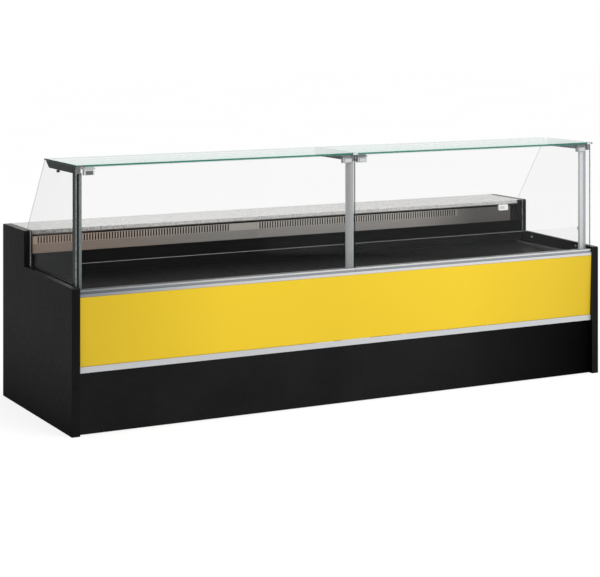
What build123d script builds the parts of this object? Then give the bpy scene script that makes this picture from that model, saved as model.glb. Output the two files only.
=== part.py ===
from build123d import *
import math
import os

# Refrigerated serve-over deli case: one 3 m island of black end panels, a
# coloured front, an insulated display well, a straight glass superstructure
# and a granite worktop over an under-counter store and condensing unit.
#
# Frame: X along the counter, the customer's side faces -Y, Z up.
# Origin: on the floor, in the middle of the case's box.
# Every size and helper below counts x, y and z from the left front floor
# corner of the case instead; place() shifts them into the frame.
# "Left" and "right" are as the customer sees them. Pairs are (start, end).

LENGTH = 3000.0          # outside of end panel to outside of end panel
DEPTH = 985.0            # front of end panels to back of end panels
HEIGHT = 1240.0          # top of the top glass
MIDDLE = LENGTH / 2

PANEL_T = 40.0
PANEL_FRONT_Z = 679.0    # end panel height at the front
STEP_Y, STEP_Z = 660.0, 693.0      # foot of the step up to the worktop
WORKTOP_Z = 870.0
SLAB_T = 20.0

HINGE_Y, HINGE_Z = 15.0, 652.0     # axis of the tilting front glass
TOP_GLASS_T = 10.0
UNDER_GLASS_Z = HEIGHT - TOP_GLASS_T - 0.4     # top of what carries the top glass
SIDE_GLASS_X, SIDE_GLASS_T = 27.2, 6.0
POST_INSET = 33.5        # end of the case to the outer uprights and arms

CONTROL_X, CONTROL_Z = (2500.0, 2740.0), (700.0, 790.0)


# ------------------------------------------------------------------- helpers
def place(x, y, z):
    return (x - LENGTH / 2, y - DEPTH / 2, z)


def span(inset):
    """x range that stops the same distance short of both ends."""
    return inset, LENGTH - inset


def halves(inset, gap):
    """x ranges of a left and right half, each `gap` short of the middle."""
    return {"left": (inset, MIDDLE - gap), "right": (MIDDLE + gap, LENGTH - inset)}


def ends_and_middle(inset, width):
    """Left edges of three equal parts: one at each end and one centred."""
    return inset, MIDDLE - width / 2, LENGTH - inset - width


def box(x0, x1, y0, y1, z0, z1):
    centre = place((x0 + x1) / 2, (y0 + y1) / 2, (z0 + z1) / 2)
    return Pos(*centre) * Box(x1 - x0, y1 - y0, z1 - z0)


def prism(points, x0, x1):
    """A (y, z) outline carried along the counter from x0 to x1."""
    outline = Polyline(*[place(x0, y, z) for y, z in points], close=True)
    return extrude(make_face(outline), amount=x1 - x0, dir=(1, 0, 0))


def rod_x(x0, x1, y, z, radius):
    return Pos(*place((x0 + x1) / 2, y, z)) * Rot(0, 90, 0) * Cylinder(radius, x1 - x0)


def rod_y(x, y0, y1, z, radius):
    return Pos(*place(x, (y0 + y1) / 2, z)) * Rot(90, 0, 0) * Cylinder(radius, y1 - y0)


def rod_z(x, y, z0, z1, radius):
    return Pos(*place(x, y, (z0 + z1) / 2)) * Cylinder(radius, z1 - z0)


def mirrored(shape):
    return mirror(shape, about=Plane.YZ)


def upright_sheet(x0, x1, z0, z1, y0, y1, slots):
    """An upright sheet between y0 and y1 with (x, z, width, height) openings."""
    mid_x, mid_z = (x0 + x1) / 2, (z0 + z1) / 2
    sheet = Rectangle(x1 - x0, z1 - z0)
    sheet = sheet - [Pos(x - mid_x, z - mid_z) * Rectangle(w, h) for x, z, w, h in slots]
    plane = Plane(origin=place(mid_x, y0, mid_z), x_dir=(1, 0, 0), z_dir=(0, -1, 0))
    return extrude(plane * sheet, amount=-(y1 - y0))


def bent_rod(points, radius):
    """A round rod through (x, y, z) points with rounded corners."""
    path = FilletPolyline(*[Vector(*place(*p)) for p in points], radius=radius * 3.2)
    plane = Plane(origin=path @ 0, z_dir=path % 0)
    return sweep(plane * Circle(radius), path=path)


def fan_rotor(x, y, z, hub_r, tip_r, width, blades, bore_r):
    """Axial fan rotor on an axis along Y, with a blind bore on its front."""
    pitch, root = 28.0, 4.0          # blade angle, blade depth inside the hub
    rotor = rod_y(x, y, y + width, z, hub_r)
    length = tip_r - hub_r + root
    for i in range(blades):
        blade = Pos(hub_r - root + length / 2, 0, 0) * Rot(pitch, 0, 0) * Box(
            length, 2.0, width * 1.05 + tip_r * 0.25
        )
        rotor += Pos(*place(x, y + width / 2, z)) * Rot(0, i * 360 / blades, 0) * blade
    rotor = rotor & rod_y(x, y - 60, y + width + 60, z, tip_r)
    return rotor - rod_y(x, y - 1, y + width * 0.7, z, bore_r)


def add_motor_arms(part, x, z, first_angle, bar_y, bar_size, bar_r, pin_y, pin_at_r, pin_r):
    """Add four radial bars, centred bar_r from the fan axis, each with a pin along Y."""
    for angle in range(first_angle, 360, 90):
        bar = Pos(bar_r, 0, 0) * Box(*bar_size)
        part += Pos(*place(x, bar_y, z)) * Rot(0, -angle, 0) * bar
        pin_x = x + pin_at_r * math.cos(math.radians(angle))
        pin_z = z + pin_at_r * math.sin(math.radians(angle))
        part += rod_y(pin_x, *pin_y, pin_z, pin_r)
    return part


def save(name, *shapes):
    solids = []
    for shape in shapes:
        solids += list(shape.solids())
    node = solids[0] if len(solids) == 1 else Compound(children=solids)
    node.label = name
    export_step(node, f"parts/{name}.step")


os.makedirs("parts", exist_ok=True)


# ------------------------------------------------------- end panels and base
def end_panel():
    panel = prism([(0, 0), (DEPTH, 0), (DEPTH, WORKTOP_Z), (STEP_Y, WORKTOP_Z),
                   (STEP_Y, STEP_Z), (0, PANEL_FRONT_Z)], 0, PANEL_T)

    def in_step_corner(edge):
        centre = edge.center()
        return abs(centre.Z - STEP_Z) < 1 and abs(centre.Y + DEPTH / 2 - STEP_Y) < 1

    tops = [e for e in panel.edges().filter_by(Axis.X)
            if e.center().Z > 600 and not in_step_corner(e)]
    panel = fillet(tops, 8.0)
    outer_rim = [e for e in panel.faces().sort_by(Axis.X)[0].edges() if e.center().Z > 5]
    panel = fillet(outer_rim, 3.0)
    # rebate for the side glass and its clamp bar, and the pocket for the upright
    panel -= box(27.0, PANEL_T + 5, 26.5, 656.0, 650.0, 720.0)
    panel -= box(33.0, PANEL_T + 5, 62.0, 86.5, 633.0, 651.0)
    return panel


panel = end_panel()
save("end_panel_left", panel)
save("end_panel_right", mirrored(panel))

RAIL_Z = (60, 100)
frame = box(*span(44), 60, 100, *RAIL_Z) + box(*span(44), 895, 935, *RAIL_Z)
for x in (44, 770, 1480, 2196, 2916):            # cross members
    frame += box(x, x + 40, 90, 905, *RAIL_Z)
for x in (42.5, 1502.0, 2941.5):                 # rear posts
    frame += box(x, x + 16, 905, 935, 100, 846)
frame += box(*span(42.5), 905, 935, 816, 846)
frame += box(1700, 2930, 380, 930, 97, 103)      # plate under the cooling unit
frame += box(200, 240, 90, 905, 84, 100) + box(1300, 1340, 90, 905, 84, 100)
save("base_frame", frame)

feet = []
for x in (80, 790, 1500, 2216, 2920):
    for y in (80, 915):
        foot = rod_z(x, y, 0, 7, 24) + rod_z(x, y, 6.5, 14, 13) + rod_z(x, y, 13, 59.8, 6)
        foot += rod_z(x, y, 50, 58, 10)
        feet.append(foot)
save("levelling_feet", *feet)

KICK_Y, KICK_Z, KICK_T = 20.0, (3.0, 284.0), 1.5
KICK_FLANGE_Y = (KICK_Y, KICK_Y + 26)
kick = box(*span(41), KICK_Y, KICK_Y + KICK_T, *KICK_Z)
kick += box(*span(41), *KICK_FLANGE_Y, KICK_Z[1] - KICK_T, KICK_Z[1])
kick += box(*span(41), *KICK_FLANGE_Y, KICK_Z[0], KICK_Z[0] + KICK_T)
for x in (60, 760, 1470, 2180, 2900):            # tabs behind, up to the front rail
    kick += box(x, x + 40, KICK_Y + 1.4, 59.5, 84, 86)
save("kick_panel", kick)

# --------------------------------------------------------------- front skin
LOWER_PROFILE_TOP = 313.0
profile = prism([(16, 285), (46, 285), (46, 288), (19, 288), (19, 306), (17.6, 309.5),
                 (17.6, LOWER_PROFILE_TOP), (16, LOWER_PROFILE_TOP)], *span(40.6))
save("lower_front_profile", profile)

# The front panel leans forward towards its top and has a flange along both edges.
FRONT_T = 2.0
FRONT_LOW_Y, FRONT_LOW_Z = 20.0, LOWER_PROFILE_TOP + 0.6
FRONT_TOP_Y, FRONT_TOP_Z = 8.0, 633.5
front = prism([(FRONT_TOP_Y, FRONT_TOP_Z),
               (FRONT_LOW_Y, FRONT_LOW_Z),
               (FRONT_LOW_Y + 12, FRONT_LOW_Z),
               (FRONT_LOW_Y + 12, FRONT_LOW_Z + FRONT_T),
               (FRONT_LOW_Y + FRONT_T, FRONT_LOW_Z + FRONT_T),
               (FRONT_TOP_Y + FRONT_T, FRONT_TOP_Z - FRONT_T),
               (FRONT_TOP_Y + 14, FRONT_TOP_Z - FRONT_T),
               (FRONT_TOP_Y + 14, FRONT_TOP_Z)], *span(40.8))
save("front_panel", front)

BEAD_R, BEAD_CLEARANCE, BARREL_R = 4.0, 0.06, 6.5


def hinge_ray(degrees, length):
    """The (y, z) point at an angle and distance from the hinge axis."""
    angle = math.radians(degrees)
    return (HINGE_Y + length * math.cos(angle), HINGE_Z + length * math.sin(angle))


# Extruded hinge rail: a C-shaped barrel open towards the top, on a foot.
rail = prism([(8, 634.6), (62, 634.6), (62, 664), (38, 664), (38, 648), (8, 648)], *span(40.5))
rail += rod_x(*span(40.5), HINGE_Y, HINGE_Z, BARREL_R)
rail -= rod_x(*span(39), HINGE_Y, HINGE_Z, BEAD_R + BEAD_CLEARANCE)
rail -= prism([(HINGE_Y, HINGE_Z), hinge_ray(62, 12), hinge_ray(95, 16),
               hinge_ray(135, 16), hinge_ray(172, 12)], *span(39))
save("upper_front_profile", rail)

# ------------------------------------------------------ tilting front windows
WINDOW_Y = (18.0, 26.0)
WINDOW_Z = (661.2, 1228.0)
SHOE_GAP = 0.15          # between the glass and each cheek of its shoe


def hinge_profile(x0, x1):
    """Hinge bead, stem and the shoe that holds the glass."""
    part = rod_x(x0, x1, HINGE_Y, HINGE_Z, BEAD_R)
    part += box(x0, x1, HINGE_Y - 1.5, HINGE_Y + 1.5, HINGE_Z, 659.6)
    shoe = box(x0, x1, 12, 32, 659, 668)
    shoe -= box(x0 - 1, x1 + 1, WINDOW_Y[0] - SHOE_GAP, WINDOW_Y[1] + SHOE_GAP, 661, 670)
    return part + shoe


for side, ends in halves(42.0, 1.6).items():
    save(f"hinge_profile_{side}", hinge_profile(*ends))
for side, ends in halves(41.5, 1.2).items():
    pane = box(*ends, *WINDOW_Y, *WINDOW_Z)
    save(f"front_glass_{side}", chamfer(pane.edges().filter_by(Axis.Z), 0.8))

CATCH_X = (70.0, 1438.0, 1522.0, 2885.0)
CATCH_W = 51.0


def striker(x):
    return box(x + 8, x + CATCH_W - 8, 26.2, 28.2, 1193, 1210)


def catch_block(x, right_overhang):
    """Body, neck, wider clamp plate and the pad up to the top glass."""
    block = box(x, x + CATCH_W, 28.8, 50, 1190, 1213)
    block = fillet(block.edges().filter_by(Axis.X), 2.0)
    block += box(x + 3, x + CATCH_W - 3, 33, 50, 1212, 1218)
    block += box(x - 4, x + CATCH_W + right_overhang, 28.8, 58, 1217, 1223)
    block += box(x + 2, x + CATCH_W - 2, 32, 56, 1222.5, 1229.7)
    return block


save("strikers_left", *[striker(x) for x in CATCH_X[:2]])
save("strikers_right", *[striker(x) for x in CATCH_X[2:]])
# the second clamp plate ends flush with its body on the right
save("catch_blocks", *[catch_block(x, hang) for x, hang in zip(CATCH_X, (4.0, 0.0, 4.0, 4.0))])

# ------------------------------------------------------------ fixed glazing
for side, ends in halves(27.0, 1.4).items():
    pane = box(*ends, 16.0, 448.0, HEIGHT - TOP_GLASS_T, HEIGHT)
    save(f"top_glass_{side}", chamfer(pane.edges().filter_by(Axis.X), 1.2))

CLIP_W = 30
clips = []
for x in ends_and_middle(36, CLIP_W):
    clip = box(x, x + CLIP_W, 12.4, 15.8, 1229.2, 1239.4)
    clips.append(fillet(clip.edges().filter_by(Axis.Z), 1.2))
save("glass_edge_clips", *clips)

side_glass = prism([(28, 652), (653.5, 652), (653.5, 872), (700, 872),
                    (447, UNDER_GLASS_Z), (28, UNDER_GLASS_Z)],
                   SIDE_GLASS_X, SIDE_GLASS_X + SIDE_GLASS_T)
save("side_glass_left", side_glass)
save("side_glass_right", mirrored(side_glass))

CLAMP_SCREWS = ((145, 669), (548, 671))          # (y, z)
clamp = prism([(90, 651), (650, 651), (650, 698), (90, 686)], POST_INSET, PANEL_T)
screws = []
for y, z in CLAMP_SCREWS:
    clamp -= rod_x(30, 45, y, z, 2.6)
    screw = rod_x(34.0, 40.2, y, z, 2.4) + rod_x(40.1, 42.4, y, z, 5.5)
    screw -= rod_x(41.2, 43, y, z, 2.0)          # socket in the head
    screws += [screw, mirrored(screw)]
save("side_glass_clamps", clamp, mirrored(clamp))
save("clamp_screws", *screws)

POST_W, POST_D, POST_Y = 39.0, 20.0, 64.0
POST_Z = (636.0, 1198.0)
POST_FACE = -POST_D / 2                          # front face in the section
# hollow, its front in two flats that fall back from a central groove
section = RectangleRounded(POST_W, POST_D, 2.5)
for sign in (-1, 1):
    section -= Polygon((sign * 2, POST_FACE - 1), (sign * 21, POST_FACE - 1),
                       (sign * 21, POST_FACE + 3.3), (sign * 2, POST_FACE), align=None)
section -= Pos(0, 1.6) * RectangleRounded(POST_W - 5, POST_D - 8.2, 1.2)
section -= Pos(0, POST_FACE) * Rectangle(5, 4.4)
posts = []
for x in ends_and_middle(POST_INSET, POST_W):
    foot_centre = place(x + POST_W / 2, POST_Y + POST_D / 2, POST_Z[0])
    posts.append(extrude(Pos(*foot_centre) * section, amount=POST_Z[1] - POST_Z[0]))
save("uprights", *posts)

ARM_W = 20.0
ARM_OUTLINE = [(29, 1198.2), (398, 1198.2), (432, 1222), (436, UNDER_GLASS_Z),
               (29, UNDER_GLASS_Z)]
arms = []
for x in ends_and_middle(POST_INSET, ARM_W):
    arm = prism(ARM_OUTLINE, x, x + ARM_W)
    arms.append(chamfer(arm.edges().filter_by(Axis.X).sort_by(Axis.Z)[:1], 1.0))
save("support_arms", *arms)

KNOB_X, KNOB_Y = POST_INSET + ARM_W / 2, 300     # under the left arm
save("arm_knob", rod_z(KNOB_X, KNOB_Y, 1184, 1194, 8) + rod_z(KNOB_X, KNOB_Y, 1193.5, 1198, 4))

save("air_deflector_glass",
     *[box(*ends, 86.2, 91.2, 636.2, 778) for ends in halves(45, 1.5).values()])
clips = []
for x0, x1 in ((48, 68), (1489, 1511), (2932, 2952)):
    clip = box(x0, x1, 84.3, 93.4, 764, 780) - box(x0 - 1, x1 + 1, 86.0, 91.4, 760, 778.2)
    clips.append(clip)
save("deflector_clips", *clips)

# ---------------------------------------------------------- insulated well
WELL_INSET, WELL_Y, WELL_FLOOR_Z = 84, (90, 690), 480
WELL_TOP = 634.0         # top of the front and side walls
DRAIN_X, DRAIN_Y = 1560, 300

foam = box(*span(41), 24, 730, 442, WELL_TOP) + box(*span(41), 690, 730, WELL_TOP - 1, 846)
foam -= box(*span(WELL_INSET), *WELL_Y, WELL_FLOOR_Z, 900)
foam -= rod_z(DRAIN_X, DRAIN_Y, 430, 490, 22)
save("tub_insulation", foam)

LINER_T, LINER_GAP = 1.2, 0.3                    # sheet, and its gap to the foam
left, right = span(WELL_INSET + LINER_GAP)
front_y, rear_y = WELL_Y[0] + LINER_GAP, WELL_Y[1] - LINER_GAP
floor_z, rim_z = WELL_FLOOR_Z + LINER_GAP, WELL_TOP + LINER_GAP
rim_left, rim_right = span(41.6)
rim_front_y = 63.2
liner = box(left, right, front_y, rear_y, floor_z, rim_z) - box(
    left + LINER_T, right - LINER_T, front_y + LINER_T, rear_y - LINER_T, floor_z + LINER_T, 700)
liner += box(left, right, rear_y - LINER_T, rear_y, 600, 845)
liner += box(rim_left, rim_right, rim_front_y, front_y + LINER_T, rim_z, rim_z + LINER_T)
liner += box(rim_left, left + LINER_T, rim_front_y, rear_y, rim_z, rim_z + LINER_T)
liner += box(right - LINER_T, rim_right, rim_front_y, rear_y, rim_z, rim_z + LINER_T)
liner -= rod_z(DRAIN_X, DRAIN_Y, 470, 490, 16)
save("tub_liner", liner)

PIPE_R, PIPE_BORE_R, ELBOW_Z = 20, 17, 150       # the pipe turns forward at the elbow
drain = rod_z(DRAIN_X, DRAIN_Y, 448, 479.9, PIPE_R)
drain += rod_z(DRAIN_X, DRAIN_Y, ELBOW_Z, 449, PIPE_R)
drain += rod_y(DRAIN_X, 220, DRAIN_Y, ELBOW_Z, PIPE_R)
drain += Pos(*place(DRAIN_X, DRAIN_Y, ELBOW_Z)) * Sphere(PIPE_R)
drain -= rod_z(DRAIN_X, DRAIN_Y, ELBOW_Z, 485, PIPE_BORE_R)
drain -= rod_y(DRAIN_X, 215, DRAIN_Y, ELBOW_Z, PIPE_BORE_R)
save("drain_pipe", drain)

# rails, cross bars and legs the decks rest on
DECK_INSET = 86.5
rails = box(*span(DECK_INSET), 150, 170, 582, 603)
rails += box(*span(DECK_INSET), 610, 630, 612, 634.6)
for x in (300, 700, 1300, 1682, 2282, 2690):
    rails += prism([(160, 583), (620, 613), (620, 625), (160, 595)], x, x + 18)
    rails += box(x, x + 18, 150, 170, 481.8, 583) + box(x, x + 18, 610, 630, 481.8, 613)
save("deck_supports", rails)

DECK_Y = (140, 640)
DECK_Z = (606.0, 640.0)  # top face at the front and at the rear
SHEET_T = 2


def deck_z(y):
    return DECK_Z[0] + (DECK_Z[1] - DECK_Z[0]) * (y - DECK_Y[0]) / (DECK_Y[1] - DECK_Y[0])


def sloped_sheet(x0, x1, y0, y1, thickness):
    """A slab whose top face lies in the sloping deck surface."""
    return prism([(y0, deck_z(y0)), (y1, deck_z(y1)),
                  (y1, deck_z(y1) - thickness), (y0, deck_z(y0) - thickness)], x0, x1)


def display_deck(x0, x1):
    """Sloping sheet with a lip front and rear and a flange under each side."""
    (y0, y1), (z0, z1) = DECK_Y, DECK_Z
    deck = sloped_sheet(x0, x1, y0, y1, SHEET_T)
    deck += box(x0, x1, y0 - SHEET_T, y0, z0 - 14, z0 + 14)
    deck += box(x0, x1, y1, y1 + SHEET_T, z1 - 14, z1 + 8)
    deck += sloped_sheet(x0, x0 + SHEET_T, 176, 604, 12)
    deck += sloped_sheet(x1 - SHEET_T, x1, 176, 604, 12)
    return deck


DECKS_X = ((DECK_INSET, 1026), (1029, 1971), (1974, LENGTH - DECK_INSET))
for i, ends in enumerate(DECKS_X, start=1):
    save(f"display_deck_{i}", display_deck(*ends))

GRILLE_X, GRILLE_Y = span(88), (95, 134)
sheet = Rectangle(GRILLE_X[1] - GRILLE_X[0], GRILLE_Y[1] - GRILLE_Y[0]) - [
    Pos(x - MIDDLE, 0) * Rectangle(12, 28) for x in range(110, 2900, 20)
]
grille = extrude(Pos(*place(MIDDLE, sum(GRILLE_Y) / 2, 626)) * sheet, amount=1.5)
grille += box(*GRILLE_X, 95, 96.5, 612, 627) + box(*GRILLE_X, 132.5, 134, 612, 627)
save("return_air_grille", grille)

duct = box(*span(87), 655.6, 656.8, 598, 782) + box(*span(41.5), 655.6, 656.8, 637, 782)
save("rear_duct_panel", duct)

RISER_JOINT = 1268.0
SLOT_W, SLOT_PITCH, SLOT_Z = 7.0, 15.0, (804.0, 838.0)


def riser_panel(x0, x1, first, last):
    """Slotted sheet with folded edges; slots fill whole pitches from first to last."""
    count = int((last - first) / SLOT_PITCH)
    slots = [(first + SLOT_PITCH * (i + 0.5), sum(SLOT_Z) / 2, SLOT_W, SLOT_Z[1] - SLOT_Z[0])
             for i in range(count)]
    riser = upright_sheet(x0, x1, 757, 848.5, 650, 651.2, slots)
    riser += box(x0, x1, 650.5, 655.2, 757, 758.2) + box(x0, x1, 654, 655.2, 757, 770)
    riser += box(x0, x1, 650.5, 680, 847.3, 848.5)
    return riser


save("riser_panel_left", riser_panel(40.6, RISER_JOINT - 0.5, 62, 1126))
save("riser_panel_right", riser_panel(RISER_JOINT + 0.5, LENGTH - 40.6, 1282, 2521))

slab = box(*span(40.6), 656.0, DEPTH - 1, WORKTOP_Z - SLAB_T, WORKTOP_Z)
slab = fillet(slab.edges().filter_by(Axis.X).sort_by(Axis.Y)[:2], 2.5)
save("worktop_slab", slab)

thermometer = box(2798, 2858, 637, 649.7, 818, WORKTOP_Z - SLAB_T - 0.5)
thermometer = fillet(thermometer.edges().filter_by(Axis.Y), 4.0)
thermometer -= box(2804, 2836, 636, 638.2, 826, 842)
save("thermometer", thermometer)

# ------------------------------------------------ evaporator under the decks
coil = box(400, 403, 340, 560, 484, 566) + box(2597, 2600, 340, 560, 484, 566)
for i in range(59):                              # fins
    x = 432 + 36 * i
    coil += box(x, x + 1.6, 344, 556, 486, 564)
for y in (375, 425, 475, 525):                   # tubes
    for z in (508, 545):
        coil += rod_x(400, 2600, y, z, 6)
save("evaporator_coil", coil)

EVAP_FANS_X, EVAP_FAN_Z = (900.0, 2100.0), 536.0
EVAP_RING_R, EVAP_HOLE_R = 51, 49
plate = upright_sheet(402, 2598, 483, 589, 310, 311.5, [])
for x in EVAP_FANS_X:
    plate -= rod_y(x, 300, 320, EVAP_FAN_Z, EVAP_HOLE_R)
    plate += (rod_y(x, 292, 311, EVAP_FAN_Z, EVAP_RING_R)
              - rod_y(x, 280, 330, EVAP_FAN_Z, EVAP_HOLE_R))
for x in EVAP_FANS_X:
    motor = rod_y(x, 246, 284, EVAP_FAN_Z, 22) + rod_y(x, 283, 301, EVAP_FAN_Z, 3.0)
    plate += add_motor_arms(motor, x, EVAP_FAN_Z, first_angle=45,
                            bar_y=270, bar_size=(34, 3, 5), bar_r=37,
                            pin_y=(268, 293.0), pin_at_r=51.5, pin_r=2.4)
save("evaporator_fan_mount", plate)
for i, x in enumerate(EVAP_FANS_X, start=1):
    save(f"evaporator_fan_{i}", fan_rotor(x, 288.0, EVAP_FAN_Z, hub_r=17, tip_r=46,
                                          width=20, blades=5, bore_r=3.05))

# ------------------------------------------------------ under-counter store
DOOR_Y, DOOR_Z = (955.0, 979.0), (110.0, 426.0)
DOORS_X = ((66.0, 779.0), (785.0, 1494.0))
PIN_Y, PIN_R = sum(DOOR_Y) / 2, 3.0
PINS_X = (DOORS_X[0][0] + 6, DOORS_X[1][1] - 6)  # hinged at the outer edges

cabinet = box(62.0, 1498.0, 420, 945, 104, 432)
cabinet -= box(97, 1463, 455, 950, 139, 397)
cabinet += box(767, 797, 905, 945, 130, 400)     # mullion between the doors
for x in PINS_X:
    for z0, z1 in ((102.5, 107.5), (428.5, 433.5)):
        lug = box(x - 8, x + 8, 944, 976, z0, z1)
        cabinet += lug - rod_z(x, PIN_Y, z0 - 1, z1 + 1, PIN_R + 0.05)
save("storage_cabinet", cabinet)


def storage_door(x0, x1, pin_x):
    door = box(x0, x1, *DOOR_Y, *DOOR_Z)
    door = fillet(door.edges().filter_by(Axis.Z), 2.0)
    # finger pull along the top edge
    door -= box(x0 + 120, x1 - 120, 968, 976, DOOR_Z[1] - 22, DOOR_Z[1] + 2)
    door += (rod_z(pin_x, PIN_Y, 103.0, DOOR_Z[0] + 1, PIN_R)
             + rod_z(pin_x, PIN_Y, DOOR_Z[1] - 1, 433.0, PIN_R))
    return door


def door_gasket(x0, x1):
    gasket = box(x0 + 12, x1 - 12, 945.6, 954.9, DOOR_Z[0] + 10, DOOR_Z[1] - 10)
    return gasket - box(x0 + 26, x1 - 26, 940, 960, DOOR_Z[0] + 24, DOOR_Z[1] - 24)


for i, (ends, pin_x) in enumerate(zip(DOORS_X, PINS_X), start=1):
    save(f"storage_door_{i}", storage_door(*ends, pin_x))
    save(f"door_gasket_{i}", door_gasket(*ends))


# -------------------------------------------------------------- back panels
def control_box(inset_x, inset_z, y0, y1):
    """A box inset from the outline of the control panel."""
    return box(CONTROL_X[0] + inset_x, CONTROL_X[1] - inset_x, y0, y1,
               CONTROL_Z[0] + inset_z, CONTROL_Z[1] - inset_z)


back = box(*span(41.5), 974, 975.5, 440, 846) + box(*span(41.5), 950, 975, 440, 441.5)
back += box(*span(41.5), 950, 975, 844.5, 846)
back -= control_box(12, 8, 960, 980)
save("rear_panel", back)

louvres = [(1900 + 220 * i, 180 + 16 * j, 190, 7) for i in range(5) for j in range(13)]
vent = upright_sheet(1503, 2957, 110, 436, 972, 973.5, louvres)
vent += box(1503, 2957, 945, 973, 110, 111.5) + box(1503, 2957, 945, 973, 434.5, 436)
save("unit_grille", vent)

# ------------------------------------------------------------ cooling unit
COMP_X, COMP_Y = 2050.0, 640.0                   # compressor axis
compressor = rod_z(COMP_X, COMP_Y, 150, 290, 92)
compressor = fillet(compressor.edges(), 40.0)
compressor += box(COMP_X - 115, COMP_X + 115, COMP_Y - 80, COMP_Y + 80, 122, 128)
compressor += rod_z(COMP_X, COMP_Y, 126, 175, 70)
for x in (COMP_X - 95, COMP_X + 95):             # feet
    for y in (COMP_Y - 62, COMP_Y + 62):
        compressor += rod_z(x, y, 103.2, 123, 12)
compressor += box(COMP_X + 80, COMP_X + 118, COMP_Y - 30, COMP_Y + 30, 185, 260)
save("compressor", compressor)

COND_X, COND_Z = (2350, 2850), (112, 392)
COND_FAN_X, COND_FAN_Z = sum(COND_X) / 2, sum(COND_Z) / 2
COND_RING_R, COND_HOLE_R = 128, 126
save("condenser_coil", upright_sheet(*COND_X, *COND_Z, 850, 912, [
    (2366 + 12 * i, COND_FAN_Z, 9.6, 256) for i in range(40)]))

mount = upright_sheet(*COND_X, *COND_Z, 838, 840, [])
mount -= rod_y(COND_FAN_X, 830, 850, COND_FAN_Z, COND_HOLE_R)
mount += (rod_y(COND_FAN_X, 806, 839, COND_FAN_Z, COND_RING_R)
          - rod_y(COND_FAN_X, 790, 860, COND_FAN_Z, COND_HOLE_R))
mount += (rod_y(COND_FAN_X, 742, 790, COND_FAN_Z, 38)
          + rod_y(COND_FAN_X, 789, 817, COND_FAN_Z, 4.0))
mount = add_motor_arms(mount, COND_FAN_X, COND_FAN_Z, first_angle=0,
                       bar_y=770, bar_size=(94, 4, 10), bar_r=81,
                       pin_y=(768, 808), pin_at_r=127, pin_r=4)
save("condenser_fan_mount", mount)
save("condenser_fan", fan_rotor(COND_FAN_X, 800, COND_FAN_Z, hub_r=34, tip_r=120,
                                width=26, blades=6, bore_r=4.05))

save("refrigerant_pipes",
     bent_rod([(COMP_X, COMP_Y, 291), (COMP_X, COMP_Y, 350), (2343.5, COMP_Y, 350),
               (2343.5, 885, 350)], 5.0),
     bent_rod([(2344, 885, 140), (2344, 500, 140), (2300, 500, 140), (2300, 180, 140),
               (2300, 180, 438)], 4.0),
     bent_rod([(COMP_X - 40, COMP_Y - 96, 210), (COMP_X - 40, 200, 210),
               (COMP_X - 40, 200, 438)], 7.0))

# ---------------------------------------------------------------- controls
BUTTON_X, BUTTON_Z, BUTTON_R = 2622, 745, 7.0
SWITCH_X = (2670, 2690)
housing = control_box(0, 0, 975.8, 981)
housing = fillet(housing.edges().filter_by(Axis.Y), 6.0)
housing += control_box(14, 10, 938, 976)
housing -= control_box(16.5, 12.5, 940.5, 975.9)
housing -= box(2524, 2592, 979.2, 983, 733, 767)                # display recess
housing -= rod_y(BUTTON_X, 970, 985, BUTTON_Z, BUTTON_R + 0.3)
housing -= box(SWITCH_X[0] - 0.7, SWITCH_X[1] + 0.7, 970, 985, 735.3, 764.7)
save("control_panel", housing)
button = rod_y(BUTTON_X, 971.5, 983.2, BUTTON_Z, BUTTON_R)
save("set_button", fillet(button.edges().sort_by(Axis.Y)[-1:], 1.0))
save("main_switch", prism([(972, 738), (978.5, 737), (983, 739), (980.6, 750), (983, 761),
                           (978.5, 763), (972, 762)], *SWITCH_X))

cord = bent_rod([(2890, 946, 96), (2890, 955, 60), (2890, 962, 12), (2700, 962, 12),
                 (2420, 955, 12), (2420, 930, 12), (2560, 925, 12)], 4.2)
plug = Pos(*place(2582, 925, 17)) * Box(44, 30, 26)
plug = fillet(plug.edges().filter_by(Axis.X), 5.0)
plug += rod_x(2603, 2622, 916, 17, 2.4) + rod_x(2603, 2622, 934, 17, 2.4)
save("power_cord", cord + plug)
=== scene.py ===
import math

import bmesh
import bpy
from mathutils import Matrix, Vector


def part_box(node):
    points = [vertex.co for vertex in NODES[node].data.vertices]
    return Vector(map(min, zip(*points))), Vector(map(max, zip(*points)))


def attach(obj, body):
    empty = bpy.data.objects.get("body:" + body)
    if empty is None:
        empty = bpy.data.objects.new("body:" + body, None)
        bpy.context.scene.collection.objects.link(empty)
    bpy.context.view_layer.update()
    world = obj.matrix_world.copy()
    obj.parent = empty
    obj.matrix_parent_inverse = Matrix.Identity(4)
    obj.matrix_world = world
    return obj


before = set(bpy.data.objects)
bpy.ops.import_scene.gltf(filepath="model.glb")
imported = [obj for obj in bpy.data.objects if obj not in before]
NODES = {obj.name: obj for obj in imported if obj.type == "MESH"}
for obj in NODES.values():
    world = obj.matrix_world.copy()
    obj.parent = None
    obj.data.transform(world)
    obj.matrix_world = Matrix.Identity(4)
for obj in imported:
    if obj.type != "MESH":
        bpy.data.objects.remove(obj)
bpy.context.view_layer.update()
SOCKET = bpy.types.NodeSocket


# ---------------------------------------------------------------- node helpers
def mk(nt, kind, ins=None, **props):
    node = nt.nodes.new(kind)
    for key, value in props.items():
        setattr(node, key, value)
    for key, value in (ins or {}).items():
        socket = node.inputs[key]
        if isinstance(value, SOCKET):
            nt.links.new(value, socket)
        else:
            socket.default_value = value
    return node


def new_material(name):
    m = bpy.data.materials.new(name)
    m.use_nodes = True
    m.node_tree.nodes.clear()
    return m, m.node_tree


def coords(nt, scale=(1, 1, 1)):
    co = mk(nt, "ShaderNodeTexCoord").outputs["Object"]
    if tuple(scale) == (1, 1, 1):
        return co
    return mk(nt, "ShaderNodeMapping", {"Vector": co, "Scale": scale}).outputs["Vector"]


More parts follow.
